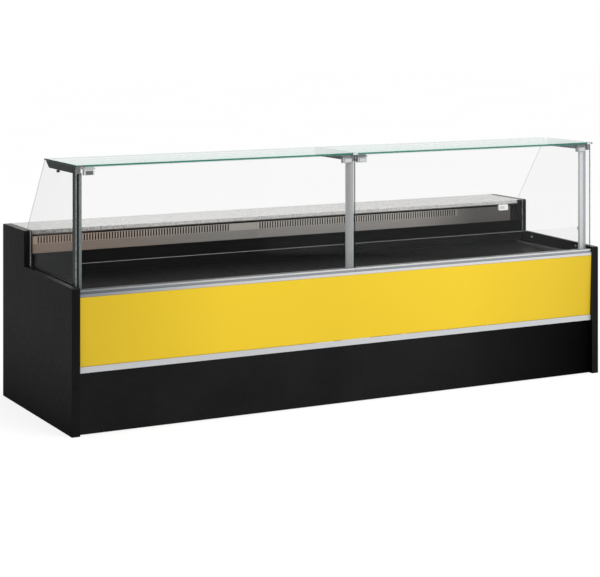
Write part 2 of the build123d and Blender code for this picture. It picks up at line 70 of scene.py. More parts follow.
def noise(nt, vec, scale, detail=3.0, rough=0.5, distortion=0.0):
    return mk(
        nt,
        "ShaderNodeTexNoise",
        {
            "Vector": vec,
            "Scale": scale,
            "Detail": detail,
            "Roughness": rough,
            "Distortion": distortion,
        },
    ).outputs[0]


def calc(nt, op, a, b=0.0, c=0.0, clamp=False):
    n = mk(nt, "ShaderNodeMath", operation=op, use_clamp=clamp)
    for i, v in enumerate((a, b, c)):
        if isinstance(v, SOCKET):
            nt.links.new(v, n.inputs[i])
        else:
            n.inputs[i].default_value = v
    return n.outputs[0]


def spread(nt, v, a, b, c, d):
    return mk(
        nt,
        "ShaderNodeMapRange",
        {"Value": v, "From Min": a, "From Max": b, "To Min": c, "To Max": d},
    ).outputs[0]


def ramp(nt, fac, stops, interpolation="LINEAR"):
    n = mk(nt, "ShaderNodeValToRGB", {"Fac": fac})
    n.color_ramp.interpolation = interpolation
    el = n.color_ramp.elements
    while len(el) > 1:
        el.remove(el[-1])
    for i, (pos, col) in enumerate(stops):
        e = el[0] if i == 0 else el.new(pos)
        e.position = pos
        e.color = (*col, 1.0) if len(col) == 3 else col
    return n.outputs["Color"]


def mixc(nt, fac, a, b, mode="MIX"):
    n = mk(nt, "ShaderNodeMix", data_type="RGBA", blend_type=mode)
    for name, v in (("Factor_Float", fac), ("A_Color", a), ("B_Color", b)):
        s = next(x for x in n.inputs if x.identifier == name)
        if isinstance(v, SOCKET):
            nt.links.new(v, s)
        else:
            s.default_value = v if not isinstance(v, tuple) or len(v) == 4 else (*v, 1)
    return next(x for x in n.outputs if x.identifier == "Result_Color")


def bump(nt, height, strength, distance, normal=None):
    ins = {"Height": height, "Strength": strength, "Distance": distance}
    if normal is not None:
        ins["Normal"] = normal
    return mk(nt, "ShaderNodeBump", ins).outputs["Normal"]


def close(nt, **ins):
    names = {
        "base": "Base Color",
        "metallic": "Metallic",
        "rough": "Roughness",
        "ior": "IOR",
        "alpha": "Alpha",
        "normal": "Normal",
        "spec": "Specular IOR Level",
        "aniso": "Anisotropic",
        "aniso_turn": "Anisotropic Rotation",
        "tangent": "Tangent",
        "coat": "Coat Weight",
        "coat_rough": "Coat Roughness",
        "sheen": "Sheen Weight",
        "glow": "Emission Color",
        "glow_power": "Emission Strength",
        "through": "Transmission Weight",
    }
    fixed = {}
    for k, v in ins.items():
        if k in ("base", "glow") and isinstance(v, tuple) and len(v) == 3:
            v = (*v, 1.0)
        fixed[names[k]] = v
    b = mk(nt, "ShaderNodeBsdfPrincipled", fixed)
    out = mk(nt, "ShaderNodeOutputMaterial")
    nt.links.new(b.outputs[0], out.inputs["Surface"])
    return b


def edge_highlight_mask(nt, radius=0.002):
    """0 on open faces, 1 along edges."""
    bev = mk(nt, "ShaderNodeBevel", {"Radius": radius}, samples=4).outputs[0]
    geo = mk(nt, "ShaderNodeNewGeometry").outputs["True Normal"]
    dot = mk(nt, "ShaderNodeVectorMath", operation="DOT_PRODUCT")
    nt.links.new(bev, dot.inputs[0])
    nt.links.new(geo, dot.inputs[1])
    return spread(nt, dot.outputs["Value"], 0.995, 0.80, 0.0, 1.0)


# ---------------------------------------------------------------- finishes
def paint(
    name,
    dark,
    light,
    rough=(0.36, 0.46),
    spec=0.3,
    grain=420.0,
    depth=0.00006,
    pebble=False,
    edge=None,
    coat=0.0,
    metallic=0.0,
    cloud=2.2,
    zones=None,
    glow=0.0,
):
    """Powder coat, lacquer or moulded plastic: a slow drift of tone, a finer mottle, and an orange peel or pebbled surface."""
    m, nt = new_material(name)
    co = coords(nt)
    big = noise(nt, co, cloud, 4, 0.55, 0.3)
    mid = noise(nt, co, 46, 5, 0.6)
    tone = calc(nt, "ADD", calc(nt, "MULTIPLY", big, 0.72), calc(nt, "MULTIPLY", mid, 0.28))
    base = ramp(nt, tone, [(0.36, dark), (0.64, light)])
    fine = noise(nt, co, grain, 3, 0.55)
    if pebble:
        cell = mk(
            nt,
            "ShaderNodeTexVoronoi",
            {"Vector": co, "Scale": grain * 1.4, "Randomness": 1.0},
            feature="SMOOTH_F1",
        ).outputs["Distance"]
        height = calc(nt, "ADD", calc(nt, "MULTIPLY", cell, 0.8), calc(nt, "MULTIPLY", fine, 0.5))
    else:
        height = calc(nt, "ADD", calc(nt, "MULTIPLY", fine, 0.6), calc(nt, "MULTIPLY", noise(nt, co, grain * 0.22, 2), 0.8))
    rub = noise(nt, coords(nt, (9, 30, 30)), 1.0, 5, 0.65, 0.4)
    r = calc(
        nt,
        "ADD",
        spread(nt, mid, 0.3, 0.7, rough[0], rough[1]),
        spread(nt, rub, 0.35, 0.75, -0.035, 0.035),
    )
    if edge is not None:
        # painted highlight along the edges, patchy, standing in for the light that the rounded edges catch
        painted_edge_highlight = calc(nt, "MULTIPLY", edge_highlight_mask(nt), spread(nt, mid, 0.3, 0.65, 0.35, 1.0))
        base = mixc(nt, painted_edge_highlight, base, edge)
        r = calc(nt, "SUBTRACT", r, calc(nt, "MULTIPLY", painted_edge_highlight, 0.06))
    if zones:
        base, spec = zones(nt, base, spec)
    close(
        nt,
        base=base,
        rough=r,
        spec=spec,
        metallic=metallic,
        coat=coat,
        glow=base,
        glow_power=glow,
        normal=bump(nt, height, 0.55, depth),
    )
    return m


def brushed(
    name,
    dark,
    light,
    rough=(0.24, 0.36),
    axis=0,
    lines=700.0,
    depth=0.00003,
    metallic=1.0,
    aniso=0.5,
    smudge=0.06,
    tint=None,
    zones=None,
):
    """Brushed or extruded metal: fine lines along one axis, broader bands between them, and soft handling marks."""
    m, nt = new_material(name)
    long = 5.0
    s = [lines] * 3
    s[axis] = long
    fine = noise(nt, coords(nt, s), 1.0, 3, 0.6)
    s = [lines * 0.14] * 3
    s[axis] = long * 0.06
    band = noise(nt, coords(nt, s), 1.0, 2, 0.5)
    hand = noise(nt, coords(nt), 7.0, 5, 0.62, 0.5)
    tone = calc(nt, "ADD", calc(nt, "MULTIPLY", fine, 0.62), calc(nt, "MULTIPLY", band, 0.16))
    tone = calc(nt, "ADD", tone, calc(nt, "MULTIPLY", hand, 0.22))
    base = ramp(nt, tone, [(0.30, dark), (0.70, light)])
    if tint:
        base = mixc(nt, spread(nt, noise(nt, coords(nt), 1.3, 3), 0.35, 0.7, 0.0, 0.6), base, tint)
    if zones:
        base = zones(nt, base)
        if isinstance(base, tuple):
            base, metallic = base
    r = calc(
        nt,
        "ADD",
        spread(nt, fine, 0.25, 0.75, rough[0], rough[1]),
        spread(nt, hand, 0.4, 0.75, -smudge, smudge),
    )
    tangent = mk(nt, "ShaderNodeCombineXYZ", {"XYZ"[axis]: 1.0}).outputs[0]
    close(
        nt,
        base=base,
        metallic=metallic,
        rough=r,
        aniso=aniso,
        aniso_turn=0.25,
        tangent=tangent,
        normal=bump(nt, calc(nt, "ADD", fine, calc(nt, "MULTIPLY", band, 0.2)), 0.3, depth),
    )
    return m


def spangle(name):
    """Hot dip galvanised sheet: flower-like crystals, each with its own tone, and a duller bloom."""
    m, nt = new_material(name)
    co = coords(nt)
    warp = mk(
        nt,
        "ShaderNodeVectorMath",
        operation="ADD",
    )
    nt.links.new(co, warp.inputs[0])
    sc = mk(nt, "ShaderNodeVectorMath", operation="SCALE")
    nt.links.new(mk(nt, "ShaderNodeTexNoise", {"Vector": co, "Scale": 60.0, "Detail": 3.0}).outputs["Color"], sc.inputs[0])
    sc.inputs["Scale"].default_value = 0.012
    nt.links.new(sc.outputs[0], warp.inputs[1])
    vor = mk(nt, "ShaderNodeTexVoronoi", {"Vector": warp.outputs[0], "Scale": 90.0})
    cell = mk(nt, "ShaderNodeSeparateColor", {"Color": vor.outputs["Color"]}).outputs[0]
    bloom = noise(nt, co, 9, 5, 0.6)
    tone = calc(nt, "ADD", calc(nt, "MULTIPLY", cell, 0.55), calc(nt, "MULTIPLY", bloom, 0.45))
    base = ramp(nt, tone, [(0.2, (0.30, 0.315, 0.33)), (0.55, (0.43, 0.45, 0.46)), (0.9, (0.58, 0.60, 0.61))])
    close(
        nt,
        base=base,
        metallic=0.85,
        rough=spread(nt, tone, 0.2, 0.8, 0.52, 0.34),
        normal=bump(nt, cell, 0.2, 0.00004),
    )
    return m


def granite(name):
    """Polished speckled stone: feldspar, quartz and mica grains of several sizes, with a slow drift of tone; a painted
    shadow on the front face at the left end, a painted highlight along the rest of the front face and a painted
    highlight over the left part of the top.
    """
    m, nt = new_material(name)
    co = coords(nt)
    add = mk(nt, "ShaderNodeVectorMath", operation="ADD")
    nt.links.new(co, add.inputs[0])
    sc = mk(nt, "ShaderNodeVectorMath", operation="SCALE")
    nt.links.new(mk(nt, "ShaderNodeTexNoise", {"Vector": co, "Scale": 150.0, "Detail": 4.0}).outputs["Color"], sc.inputs[0])
    sc.inputs["Scale"].default_value = 0.006
    nt.links.new(sc.outputs[0], add.inputs[1])
    vec = add.outputs[0]

    def cells(scale):
        v = mk(nt, "ShaderNodeTexVoronoi", {"Vector": vec, "Scale": scale})
        return mk(nt, "ShaderNodeSeparateColor", {"Color": v.outputs["Color"]}).outputs[0]

    coarse = ramp(
        nt,
        cells(150.0),
        [
            (0.0, (0.055, 0.055, 0.058)),
            (0.11, (0.27, 0.265, 0.26)),
            (0.32, (0.50, 0.49, 0.475)),
            (0.56, (0.68, 0.67, 0.655)),
            (0.82, (0.86, 0.85, 0.835)),
        ],
        "CONSTANT",
    )
    fine = ramp(
        nt,
        cells(420.0),
        [
            (0.0, (0.03, 0.03, 0.032)),
            (0.14, (0.40, 0.39, 0.385)),
            (0.46, (0.64, 0.63, 0.615)),
            (0.78, (0.88, 0.87, 0.855)),
        ],
        "CONSTANT",
    )
    base = mixc(nt, 0.5, coarse, fine)
    drift = noise(nt, co, 5.0, 4, 0.6)
    base = mixc(nt, spread(nt, drift, 0.3, 0.7, 0.0, 0.30), base, (0.50, 0.495, 0.485))
    at, nor = where(nt)
    face = calc(nt, "LESS_THAN", nor["Y"], -0.5)
    flat = calc(nt, "SUBTRACT", 1.0, face)
    # painted shadow on the front face at the left end; painted highlights along the rest of the front face and over the
    # left part of the top
    shadow = spread(nt, at["X"], -1.5, -1.15, 0.75, 0.0)
    base = mixc(nt, calc(nt, "MULTIPLY", face, shadow), base, mixc(nt, 1.0, base, (0.35, 0.35, 0.35), "MULTIPLY"))
    painted_front_highlight = calc(nt, "MULTIPLY", spread(nt, at["X"], -1.15, -0.8, 0.0, 0.46), face)
    crown = calc(nt, "MULTIPLY", calc(nt, "MULTIPLY", spread(nt, at["X"], -1.42, -1.25, 0.0, 0.24), spread(nt, at["X"], -0.4, 0.5, 1.0, 0.0)), flat)
    base = mixc(nt, calc(nt, "ADD", painted_front_highlight, crown), base, (0.93, 0.925, 0.915))
    mica = spread(nt, cells(700.0), 0.93, 0.97, 0.0, 1.0)
    base = mixc(nt, mica, base, (0.015, 0.015, 0.017))
    close(
        nt,
        base=base,
        rough=spread(nt, noise(nt, co, 300, 3), 0.3, 0.7, 0.20, 0.28),
        spec=0.5,
        normal=bump(nt, noise(nt, co, 500, 3), 0.15, 0.00003),
    )
    return m


def pane(name, axis, tint=(0.968, 0.970, 0.969), edge=(0.010, 0.070, 0.052), share=0.8, glow=(0.42, 0.80, 0.68), arms=False, face=0.004, steep=0.97, ripple=0.02):
    """Float glass: light passes straight through the two faces, which mirror more at a glancing angle; the polished edges are deep green."""
    m, nt = new_material(name)
    co = coords(nt)
    turn = mk(nt, "ShaderNodeLayerWeight", {"Blend": 0.5}).outputs["Facing"]
    fres = calc(nt, "POWER", turn, 5.0)
    fres = calc(nt, "MULTIPLY_ADD", fres, steep - face, face, clamp=True)
    shade = None
    if axis == 1:
        # a front window swung open looks down on the pale floor, which hardly shows in clear glass
        lie = mk(nt, "ShaderNodeSeparateXYZ", {"Vector": mk(nt, "ShaderNodeNewGeometry").outputs["Normal"]}).outputs["Z"]
        fres = calc(nt, "MULTIPLY", fres, spread(nt, lie, -0.55, -0.10, 0.12, 1.0))
    if arms:
        # at a glancing angle the sheet mirrors almost everything, and its reflection is painted darker and greener
        # towards its front edge (a painted reflection tint)
        both = calc(nt, "DIVIDE", calc(nt, "MULTIPLY", fres, 2.0), calc(nt, "ADD", fres, 1.0))
        low = spread(nt, turn, 0.80, 0.88, 0.0, 1.0)
        fres = calc(nt, "ADD", fres, calc(nt, "MULTIPLY", calc(nt, "SUBTRACT", both, fres), low))
        depth = mk(nt, "ShaderNodeSeparateXYZ", {"Vector": co}).outputs["Y"]
        # painted reflection tint: darker and greener towards the front edge
        shade = ramp(nt, spread(nt, depth, -0.477, -0.05, 0.0, 1.0), [(0.0, (0.83, 0.93, 0.905)), (0.35, (0.90, 0.965, 0.95)), (1.0, (0.98, 1.0, 0.995))])
    wave = noise(nt, coords(nt, (3, 3, 3)), 1.0, 2)
    film = noise(nt, co, 11.0, 5, 0.7, 0.8)
    clear = mk(nt, "ShaderNodeBsdfTransparent", {"Color": (*tint, 1)})
    mirror = mk(
        nt,
        "ShaderNodeBsdfGlossy",
        {
            "Color": shade or (0.98, 1.0, 0.995, 1),
            "Roughness": spread(nt, film, 0.45, 0.8, 0.0, 0.05),
            "Normal": bump(nt, wave, ripple, 0.0005),
        },
    )
    sheet = mk(nt, "ShaderNodeMixShader", {"Fac": fres})
    nt.links.new(clear.outputs[0], sheet.inputs[1])
    nt.links.new(mirror.outputs[0], sheet.inputs[2])
    # the ground edges
    normal = mk(nt, "ShaderNodeTexCoord").outputs["Normal"]
    parts = mk(nt, "ShaderNodeSeparateXYZ", {"Vector": normal})
    rim = calc(nt, "LESS_THAN", calc(nt, "ABSOLUTE", parts.outputs["XYZ"[axis]]), 0.6)
    streak = noise(nt, coords(nt, (40, 40, 900) if axis == 2 else (40, 900, 40)), 1.0, 3)
    hue = ramp(nt, streak, [(0.3, edge), (0.7, tuple(min(1, c * 2.0 + 0.008) for c in edge))])
    if arms:
        # an end of the pane that lies on a dark arm shows the arm through it
        end = calc(nt, "GREATER_THAN", calc(nt, "ABSOLUTE", parts.outputs["X"]), 0.6)
        place = mk(nt, "ShaderNodeSeparateXYZ", {"Vector": co})
        over = calc(nt, "LESS_THAN", place.outputs["Y"], -0.0715)
        outer = calc(nt, "GREATER_THAN", calc(nt, "ABSOLUTE", place.outputs["X"]), 1.2)
        hue = mixc(nt, calc(nt, "MULTIPLY", end, calc(nt, "MULTIPLY", over, outer)), hue, (0.008, 0.009, 0.010))
        away = calc(nt, "MULTIPLY", end, calc(nt, "SUBTRACT", 1.0, over))
        rear = calc(nt, "GREATER_THAN", parts.outputs["Y"], 0.6)
        share = calc(nt, "SUBTRACT", share, calc(nt, "MULTIPLY", calc(nt, "MAXIMUM", away, rear), share * 0.8))
    solid = mk(
        nt,
        "ShaderNodeBsdfPrincipled",
        {"Base Color": hue, "Roughness": 0.25, "Specular IOR Level": 0.4},
    )
    through = mk(nt, "ShaderNodeBsdfTransparent", {"Color": (*glow, 1)})
    if arms:
        pale = mixc(nt, calc(nt, "MAXIMUM", away, rear), (*glow, 1.0), (0.86, 0.92, 0.90, 1.0))
        nt.links.new(pale, through.inputs["Color"])
    rim_mix = mk(nt, "ShaderNodeMixShader", {"Fac": share})
    nt.links.new(through.outputs[0], rim_mix.inputs[1])
    nt.links.new(solid.outputs[0], rim_mix.inputs[2])
    whole = mk(nt, "ShaderNodeMixShader", {"Fac": rim})
    nt.links.new(sheet.outputs[0], whole.inputs[1])
    nt.links.new(rim_mix.outputs[0], whole.inputs[2])
    out = mk(nt, "ShaderNodeOutputMaterial")
    nt.links.new(whole.outputs[0], out.inputs["Surface"])
    return m


def foam(name):
    m, nt = new_material(name)
    co = coords(nt)
    cell = mk(nt, "ShaderNodeTexVoronoi", {"Vector": co, "Scale": 620.0}).outputs["Distance"]
    big = noise(nt, co, 6, 4)
    base = ramp(nt, big, [(0.35, (0.60, 0.50, 0.27)), (0.65, (0.72, 0.63, 0.38))])
    base = mixc(nt, spread(nt, cell, 0.0, 0.5, 0.35, 0.0), base, (0.34, 0.26, 0.12))
    close(nt, base=base, rough=0.85, spec=0.2, normal=bump(nt, cell, 0.7, 0.0004))
    return m


def copper(name):
    m, nt = new_material(name)
    co = coords(nt)
    big = noise(nt, co, 18, 5, 0.6, 0.6)
    base = ramp(nt, big, [(0.3, (0.42, 0.155, 0.075)), (0.55, (0.68, 0.29, 0.16)), (0.8, (0.80, 0.40, 0.24))])
    close(
        nt,
        base=base,
        metallic=1.0,
        rough=spread(nt, big, 0.3, 0.7, 0.42, 0.2),
        normal=bump(nt, noise(nt, co, 300, 3), 0.2, 0.00005),
    )
    return m


def where(nt):
    """(place, normal) as separate x, y, z, in the frame."""
    co = mk(nt, "ShaderNodeSeparateXYZ", {"Vector": coords(nt)}).outputs
    nor = mk(nt, "ShaderNodeSeparateXYZ", {"Vector": mk(nt, "ShaderNodeTexCoord").outputs["Normal"]}).outputs
    return co, nor


def between(nt, v, lo, hi):
    return calc(nt, "MULTIPLY", calc(nt, "GREATER_THAN", v, lo), calc(nt, "LESS_THAN", v, hi))


def grey(nt, v):
    return mk(nt, "ShaderNodeCombineColor", {0: v, 1: v, 2: v}).outputs[0]


def upright_painted_light(nt, base):
    """Anodised uprights: two flats either side of a groove. Light and shade are painted in: the left one, which stands
    before a dark room, is painted darker, more so on its left-facing flats, with a painted shaded groove and a near
    black painted outer side; on the others the faces turned right carry painted shade, and the right one is painted
    lighter.
    """
    co, nor = where(nt)
    left = calc(nt, "LESS_THAN", co["X"], -1.2)
    rest = calc(nt, "SUBTRACT", 1.0, left)
    right = calc(nt, "GREATER_THAN", co["X"], 1.2)
    front = calc(nt, "LESS_THAN", nor["Y"], -0.5)
    outer = calc(nt, "LESS_THAN", nor["X"], -0.6)
    turned = calc(nt, "MULTIPLY", calc(nt, "GREATER_THAN", nor["X"], 0.03), front)
    toward = calc(nt, "MULTIPLY", calc(nt, "LESS_THAN", nor["X"], -0.03), front)
    middle = calc(nt, "COMPARE", co["X"], UPRIGHT_MID, 0.0031)
    # painted shade and light: the left upright darker, its groove and outer side darker still, the right one lighter
    base = mixc(nt, left, base, (0.42, 0.465, 0.46), "MULTIPLY")
    base = mixc(nt, calc(nt, "MULTIPLY", toward, left), base, (0.30, 0.32, 0.31), "MULTIPLY")
    base = mixc(nt, calc(nt, "MULTIPLY", middle, left), base, (0.10, 0.13, 0.12), "MULTIPLY")
    base = mixc(nt, calc(nt, "MULTIPLY", outer, left), base, (0.05, 0.05, 0.05), "MULTIPLY")
    base = mixc(nt, calc(nt, "MULTIPLY", turned, rest), base, (0.80, 0.81, 0.82), "MULTIPLY")
    side = calc(nt, "MULTIPLY", outer, rest)
    base = mixc(nt, right, base, mixc(nt, 1.0, base, (1.12, 1.13, 1.14), "MULTIPLY"))
    metal = calc(nt, "SUBTRACT", 0.72, calc(nt, "MULTIPLY", side, 0.62))
    metal = calc(nt, "MINIMUM", metal, calc(nt, "SUBTRACT", 0.85, calc(nt, "MULTIPLY", right, 0.35)))
    return base, metal


def lacquer_zones(nt, base, spec):
    """Front panel: the light pools in the middle and falls off at both ends."""
    co, nor = where(nt)
    k = ramp(nt, spread(nt, co["X"], -1.5, 1.5, 0.0, 1.0), [
        (0.0, (0.83,) * 3), (0.07, (0.86,) * 3), (0.26, (1.0,) * 3), (0.46, (0.955,) * 3), (0.56, (0.97,) * 3), (0.72, (1.0,) * 3), (0.90, (0.90,) * 3), (1.0, (0.82,) * 3)])
    return mixc(nt, 1.0, base, k, "MULTIPLY"), spec


def riser_painted_light(nt, base):
    """Riser sheet with light painted in: a painted warm reflection at its left end, painted shade towards its right
    end, a painted highlight on the slotted band, and a near black painted shadow under the worktop.
    """
    co, nor = where(nt)
    # painted warm reflection at the left end, painted shade towards the right end
    base = mixc(nt, spread(nt, co["X"], -1.45, -0.5, 1.0, 0.0), base, mixc(nt, 1.0, base, (1.22, 0.95, 0.80), "MULTIPLY"))
    base = mixc(nt, 1.0, base, grey(nt, spread(nt, co["X"], 0.75, 1.15, 1.0, 0.40)), "MULTIPLY")
    # painted highlight on the slotted band
    painted_slot_highlight = calc(nt, "MULTIPLY", between(nt, co["Z"], 0.8025, 0.8395), calc(nt, "LESS_THAN", co["X"], 1.024))
    base = mixc(nt, painted_slot_highlight, base, mixc(nt, 1.0, base, (1.55, 1.53, 1.50), "MULTIPLY"))
    front = calc(nt, "LESS_THAN", nor["Y"], -0.5)
    # painted shadow under the overhanging worktop, near black
    painted_slab_shadow = calc(nt, "MULTIPLY", calc(nt, "GREATER_THAN", co["Z"], 0.8405), front)
    return mixc(nt, painted_slab_shadow, base, (0.012, 0.0115, 0.011))


def lip_painted_shade(nt, base):
    """Upper profile and hinge shoe: bright lips, a groove between them painted blue-grey as painted shade, painted
    shade towards the left end, and the black glazing gasket on top.
    """
    co, nor = where(nt)
    front = calc(nt, "LESS_THAN", nor["Y"], -0.3)
    # the groove painted darker blue-grey: painted shade
    groove = calc(nt, "MULTIPLY", front, between(nt, co["Z"], 0.6478, 0.6588))
    base = mixc(nt, groove, base, (0.37, 0.39, 0.42))
    # painted shade towards the left end
    dim = spread(nt, co["X"], -1.47, -0.75, 1.0, 0.0)
    base = mixc(nt, dim, base, mixc(nt, 1.0, base, (0.40, 0.43, 0.455), "MULTIPLY"))
    gasket = calc(nt, "GREATER_THAN", co["Z"], 0.6672)
    return mixc(nt, gasket, base, (0.012, 0.012, 0.012))


def catch_painted_light(nt, base):
    """Catch blocks: bright body with the clamp plate above it painted darker as painted shadow; the left block is
    painted near white and less metallic as painted light.
    """
    co, nor = where(nt)
    left = calc(nt, "LESS_THAN", co["X"], -1.2)
    metal = calc(nt, "SUBTRACT", 0.6, calc(nt, "MULTIPLY", left, 0.6))
    # the left block painted near white: painted light
    base = mixc(nt, calc(nt, "MULTIPLY", left, 0.8), base, (0.95, 0.955, 0.96))
    # the clamp plate painted darker: painted shadow
    plate = calc(nt, "MULTIPLY", calc(nt, "GREATER_THAN", co["Z"], 1.2145), calc(nt, "SUBTRACT", 1.0, calc(nt, "MULTIPLY", left, 0.6)))
    return mixc(nt, plate, base, mixc(nt, 1.0, base, (0.42, 0.43, 0.44), "MULTIPLY")), metal


def kick_zones(nt, base, spec):
    """Kick panel: the lacquer falls into shadow towards the right end."""
    co, nor = where(nt)
    k = spread(nt, co["X"], 0.4, 1.45, 1.0, 0.12)
    return mixc(nt, 1.0, base, grey(nt, k), "MULTIPLY"), calc(nt, "MULTIPLY", k, spec)


def panel_painted_shade(nt, base, spec):
    """End panels: painted shade, their sides darker towards the floor."""
    co, nor = where(nt)
    side = calc(nt, "GREATER_THAN", calc(nt, "ABSOLUTE", nor["X"]), 0.8)
    # painted shade: the sides darker towards the floor
    k = spread(nt, co["Z"], 0.02, 0.42, 0.16, 1.0)
    k = calc(nt, "ADD", calc(nt, "MULTIPLY", k, side), calc(nt, "SUBTRACT", 1.0, side))
    return mixc(nt, 1.0, base, grey(nt, k), "MULTIPLY"), calc(nt, "MULTIPLY", k, spec)


def arm_painted_light(nt, base):
    """Anodised arms, all one finish: the left one stands before a dark room and keeps the dark tone, while the middle
    and right ones are painted lighter as painted light; bare sawn ends at the front.
    """
    co, nor = where(nt)
    # painted light: the middle and right arms painted lighter than the left
    base = mixc(nt, calc(nt, "COMPARE", co["X"], 0.0, 0.3), base, mixc(nt, 1.0, base, (6.8, 6.6, 6.4), "MULTIPLY"))
    base = mixc(nt, calc(nt, "GREATER_THAN", co["X"], 1.2), base, mixc(nt, 1.0, base, (14.0, 14.0, 13.8), "MULTIPLY"))
    end = calc(nt, "LESS_THAN", nor["Y"], -0.8)
    return mixc(nt, end, base, (0.40, 0.405, 0.41))


post_lo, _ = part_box("uprights")
UPRIGHT_MID = post_lo.x + 0.0195

MATS = {
    # the lighter edge colour of the end panels is a painted highlight
    "black_end_panel": paint(
        "black_end_panel", (0.0036, 0.0036, 0.0038), (0.0068, 0.0068, 0.0072), (0.34, 0.43), 0.25,
        grain=520, depth=0.00006, pebble=True, edge=(0.055, 0.056, 0.058), zones=panel_painted_shade,
    ),
    "black_kick": paint(
        "black_kick", (0.0048, 0.0048, 0.005), (0.010, 0.010, 0.0105), (0.36, 0.46), 0.28, grain=460, depth=0.00005, zones=kick_zones,
    ),
    "yellow_front": paint(
        "yellow_front", (0.90, 0.618, 0.025), (0.925, 0.640, 0.028), (0.31, 0.37), 0.28, grain=520, depth=0.000012, cloud=0.7, zones=lacquer_zones,
    ),
    "anodised_profile": brushed(
        "anodised_profile", (0.66, 0.675, 0.69), (0.80, 0.81, 0.825), (0.34, 0.44), 0, 900, 0.00002, 0.85, 0.35,
    ),
    "anodised_upright": brushed(
        "anodised_upright", (0.72, 0.735, 0.745), (0.80, 0.815, 0.825), (0.30, 0.34), 2, 900, 0.000006, 0.85, 0.35, smudge=0.012, zones=upright_painted_light,
    ),
    "black_clamp": paint("black_clamp", (0.0055, 0.0055, 0.006), (0.011, 0.011, 0.012), (0.40, 0.52), 0.22, grain=700, depth=0.00004),
    "dark_arm": brushed("dark_arm", (0.018, 0.019, 0.021), (0.034, 0.036, 0.038), (0.36, 0.48), 1, 800, 0.00002, 0.5, 0.3, smudge=0.03, zones=arm_painted_light),
    "bright_clip": brushed("bright_clip", (0.62, 0.63, 0.64), (0.82, 0.83, 0.84), (0.16, 0.26), 0, 1400, 0.00001, 1.0, 0.2),
    "steel_screw": brushed("steel_screw", (0.78, 0.78, 0.79), (0.93, 0.93, 0.94), (0.30, 0.42), 1, 1600, 0.00001, 0.45, 0.0),
    "stainless": brushed(
        "stainless", (0.60, 0.585, 0.57), (0.73, 0.715, 0.70), (0.30, 0.40), 0, 900, 0.00002, 0.95, 0.5, smudge=0.03,
    ),
    "riser_steel": brushed(
        "riser_steel", (0.39, 0.37, 0.35), (0.475, 0.452, 0.43), (0.34, 0.42), 0, 900, 0.00001, 0.6, 0.4, smudge=0.02, zones=riser_painted_light,
    ),
    "lip_profile": brushed(
        "lip_profile", (0.80, 0.81, 0.82), (0.90, 0.905, 0.915), (0.30, 0.36), 0, 900, 0.000006, 0.45, 0.3, smudge=0.008, zones=lip_painted_shade,
    ),
    "bright_profile": brushed(
        "bright_profile", (0.80, 0.82, 0.84), (0.88, 0.90, 0.92), (0.32, 0.40), 0, 900, 0.000008, 0.45, 0.3, smudge=0.015,
    ),
    # the white body glows a little though it has no lamp: painted light
    "thermometer_white": paint("thermometer_white", (0.88, 0.88, 0.87), (0.93, 0.93, 0.92), (0.32, 0.42), 0.45, grain=900, depth=0.00002, glow=0.24),
    # the window glows a little too, though it is no lamp: painted light
    "lcd_window": paint("lcd_window", (0.66, 0.69, 0.64), (0.74, 0.77, 0.72), (0.08, 0.14), 0.5, grain=300, depth=0.00001, coat=0.6, glow=0.12),
    "ribbed_black": paint("ribbed_black", (0.010, 0.010, 0.011), (0.022, 0.022, 0.024), (0.30, 0.40), 0.4, grain=700, depth=0.00004),
    "display_lens": paint("display_lens", (0.020, 0.004, 0.004), (0.032, 0.007, 0.006), (0.06, 0.12), 0.5, grain=300, depth=0.00001, coat=0.8),
    "catch_block": brushed(
        "catch_block", (0.66, 0.675, 0.69), (0.80, 0.81, 0.825), (0.34, 0.44), 0, 900, 0.00002, 0.85, 0.35, zones=catch_painted_light,
    ),
    "screen_black": paint("screen_black", (0.004, 0.004, 0.004), (0.008, 0.008, 0.008), (0.7, 0.85), 0.15, grain=300, depth=0.0002, pebble=True),
    "galvanised": spangle("galvanised"),
    "black_sheet": paint("black_sheet", (0.0045, 0.0045, 0.0048), (0.009, 0.009, 0.0095), (0.40, 0.52), 0.2, grain=560, depth=0.00005),
    "granite": granite("granite"),
    "white_plastic": paint("white_plastic", (0.86, 0.86, 0.855), (0.91, 0.91, 0.905), (0.32, 0.42), 0.45, grain=900, depth=0.00003),
    "black_plastic": paint("black_plastic", (0.010, 0.010, 0.011), (0.020, 0.020, 0.021), (0.38, 0.5), 0.4, grain=900, depth=0.00006, pebble=True),
    "foam": foam("foam"),
    "rubber_seal": paint("rubber_seal", (0.020, 0.020, 0.021), (0.036, 0.036, 0.037), (0.62, 0.78), 0.3, grain=600, depth=0.00006),
    "copper_pipe": copper("copper_pipe"),
    "compressor_black": paint("compressor_black", (0.008, 0.008, 0.009), (0.018, 0.018, 0.019), (0.28, 0.42), 0.5, grain=240, depth=0.00012),
    "pvc_grey": paint("pvc_grey", (0.30, 0.31, 0.32), (0.38, 0.39, 0.40), (0.38, 0.5), 0.4, grain=700, depth=0.00004),
    "cable_black": paint("cable_black", (0.012, 0.012, 0.013), (0.022, 0.022, 0.023), (0.46, 0.6), 0.35, grain=500, depth=0.00006),
    "glass_front": pane("glass_front", 1, face=0.004, tint=(0.972, 0.972, 0.972), edge=(0.012, 0.026, 0.024), share=0.9, glow=(0.5, 0.6, 0.58)),
    "glass_top": pane("glass_top", 2, tint=(0.955, 0.980, 0.972), edge=(0.012, 0.112, 0.085), share=0.88, arms=True, steep=0.97, ripple=0.06),
    "glass_side": pane("glass_side", 0, tint=(0.992, 0.993, 0.993), edge=(0.46, 0.49, 0.48), share=0.30, glow=(0.86, 0.90, 0.89), steep=0.55),
    "glass_low": pane("glass_low", 1, edge=(0.86, 0.90, 0.88), share=1.0, glow=(0.8, 0.9, 0.86)),
}

